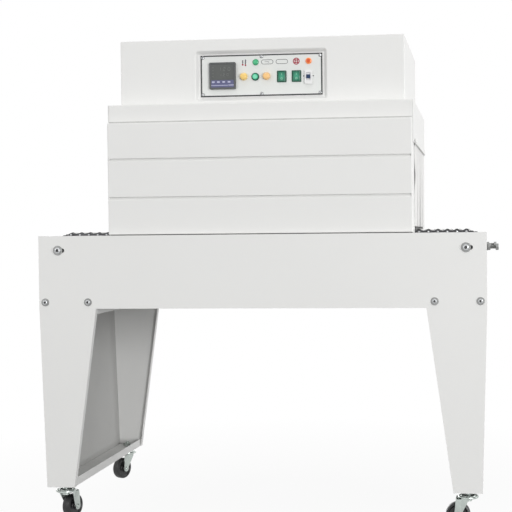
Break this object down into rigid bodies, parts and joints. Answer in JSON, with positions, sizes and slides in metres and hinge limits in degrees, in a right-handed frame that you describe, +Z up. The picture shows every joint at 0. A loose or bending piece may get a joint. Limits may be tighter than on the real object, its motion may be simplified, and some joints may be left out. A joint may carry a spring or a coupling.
{
  "type": "heat shrink tunnel with roller chain conveyor on casters",
  "caption": "Shrink wrapping tunnel with curtained ends and a control box, over a roller chain conveyor in a sheet steel table on swivel casters.",
  "frame": {"origin": "on the floor, below the middle of the table", "axes": "+X along the conveyor to the operator's right, -Y towards the operator, +Z up"},
  "size_m": [1.2, 0.68, 1.302],
  "materials": {
    "skirt_paint": "off-white powder coat, satin",
    "deck_steel": "stainless sheet",
    "rail_steel": "bare steel",
    "chain_steel": "oiled chain steel",
    "roller_steel": "zinc plated tube",
    "housing_paint": "off-white powder coat, satin",
    "curtain_cloth": "coated glass cloth",
    "panel_plate": "printed foil on sheet, satin",
    "controller_plastic": "dark grey moulding",
    "bezel_plastic": "dark moulding",
    "breaker_plastic": "white moulding",
    "toggle_plastic": "dark blue moulding",
    "yellow_plastic": "yellow moulding",
    "peach_plastic": "peach moulding",
    "green_plastic": "green moulding",
    "orange_plastic": "orange lens",
    "caster_zinc": "zinc plated",
    "wheel_rubber": "black rubber"
  },
  "bodies": {
    "table_and_tunnel": {"front_skirt": "skirt_paint", "rear_skirt": "skirt_paint", "left_end_panel": "skirt_paint", "right_end_panel": "skirt_paint", "foot_channels": "skirt_paint", "cross_rails": "skirt_paint", "deck_strips": "deck_steel", "chain_rails": "rail_steel", "shafts": "rail_steel", "sprockets": "chain_steel", "take_up_blocks": "rail_steel", "front_chain": "chain_steel", "rear_chain": "chain_steel", "carrying_rollers": "roller_steel", "tunnel_front_wall": "housing_paint", "tunnel_rear_wall": "housing_paint", "tunnel_roof": "housing_paint", "front_cladding": "housing_paint", "rear_cladding": "housing_paint", "end_headers": "housing_paint", "left_curtain": "curtain_cloth", "right_curtain": "curtain_cloth", "curtain_rails": "rail_steel", "control_box": "housing_paint", "control_panel": "panel_plate", "temperature_controller": "controller_plastic", "switch_bezels": "bezel_plastic", "breaker_body": "breaker_plastic", "green_lamp": "green_plastic", "orange_lamp": "orange_plastic", "caster_stems": "caster_zinc"},
    "left_knob": {"left_knob": "yellow_plastic"},
    "right_knob": {"right_knob": "peach_plastic"},
    "left_rocker": {"left_rocker": "green_plastic"},
    "right_rocker": {"right_rocker": "green_plastic"},
    "start_button": {"start_button": "green_plastic"},
    "breaker_toggle": {"breaker_toggle": "toggle_plastic"},
    "caster_fork_front_left": {"caster_fork_front_left": "caster_zinc"},
    "caster_wheel_front_left": {"caster_wheel_front_left": "wheel_rubber"},
    "caster_fork_front_right": {"caster_fork_front_right": "caster_zinc"},
    "caster_wheel_front_right": {"caster_wheel_front_right": "wheel_rubber"},
    "caster_fork_rear_left": {"caster_fork_rear_left": "caster_zinc"},
    "caster_wheel_rear_left": {"caster_wheel_rear_left": "wheel_rubber"},
    "caster_fork_rear_right": {"caster_fork_rear_right": "caster_zinc"},
    "caster_wheel_rear_right": {"caster_wheel_rear_right": "wheel_rubber"}
  },
  "joints": [
    {"name": "left_knob_turn", "type": "hinge", "parent": "table_and_tunnel", "child": "left_knob", "pos_m": [-0.0475, -0.258, 1.2], "axis": [0, -1, 0], "range_deg": [-140, 140]},
    {"name": "right_knob_turn", "type": "hinge", "parent": "table_and_tunnel", "child": "right_knob", "pos_m": [0.0145, -0.258, 1.2], "axis": [0, -1, 0], "range_deg": [-140, 140]},
    {"name": "left_rocker_rock", "type": "hinge", "parent": "table_and_tunnel", "child": "left_rocker", "pos_m": [0.056, -0.26, 1.198], "axis": [1, 0, 0], "range_deg": [-14, 0]},
    {"name": "right_rocker_rock", "type": "hinge", "parent": "table_and_tunnel", "child": "right_rocker", "pos_m": [0.096, -0.26, 1.198], "axis": [1, 0, 0], "range_deg": [-14, 0]},
    {"name": "start_button_push", "type": "slide", "parent": "table_and_tunnel", "child": "start_button", "axis": [0, 1, 0], "range_m": [0, 0.003], "stiffness_N_per_m": 600},
    {"name": "breaker_toggle_flip", "type": "hinge", "parent": "table_and_tunnel", "child": "breaker_toggle", "pos_m": [0.1285, -0.262, 1.196], "axis": [1, 0, 0], "range_deg": [-15, 15]},
    {"name": "caster_swivel_front_left", "type": "hinge", "parent": "table_and_tunnel", "child": "caster_fork_front_left", "pos_m": [-0.548, -0.298, 0.086], "axis": [0, 0, 1], "continuous": true},
    {"name": "caster_roll_front_left", "type": "hinge", "parent": "caster_fork_front_left", "child": "caster_wheel_front_left", "pos_m": [-0.53877, -0.27263, 0.0325], "axis": [-0.9397, 0.342, 0], "continuous": true},
    {"name": "caster_swivel_front_right", "type": "hinge", "parent": "table_and_tunnel", "child": "caster_fork_front_right", "pos_m": [0.548, -0.298, 0.086], "axis": [0, 0, 1], "continuous": true},
    {"name": "caster_roll_front_right", "type": "hinge", "parent": "caster_fork_front_right", "child": "caster_wheel_front_right", "pos_m": [0.521, -0.298, 0.0325], "axis": [0, -1, 0], "continuous": true},
    {"name": "caster_swivel_rear_left", "type": "hinge", "parent": "table_and_tunnel", "child": "caster_fork_rear_left", "pos_m": [-0.548, 0.298, 0.086], "axis": [0, 0, 1], "continuous": true},
    {"name": "caster_roll_rear_left", "type": "hinge", "parent": "caster_fork_rear_left", "child": "caster_wheel_rear_left", "pos_m": [-0.55941, 0.27353, 0.0325], "axis": [0.9063, -0.4226, 0], "continuous": true},
    {"name": "caster_swivel_rear_right", "type": "hinge", "parent": "table_and_tunnel", "child": "caster_fork_rear_right", "pos_m": [0.548, 0.298, 0.086], "axis": [0, 0, 1], "continuous": true},
    {"name": "caster_roll_rear_right", "type": "hinge", "parent": "caster_fork_rear_right", "child": "caster_wheel_rear_right", "pos_m": [0.52263, 0.28876, 0.0325], "axis": [0.342, -0.9397, 0], "continuous": true}
  ]
}
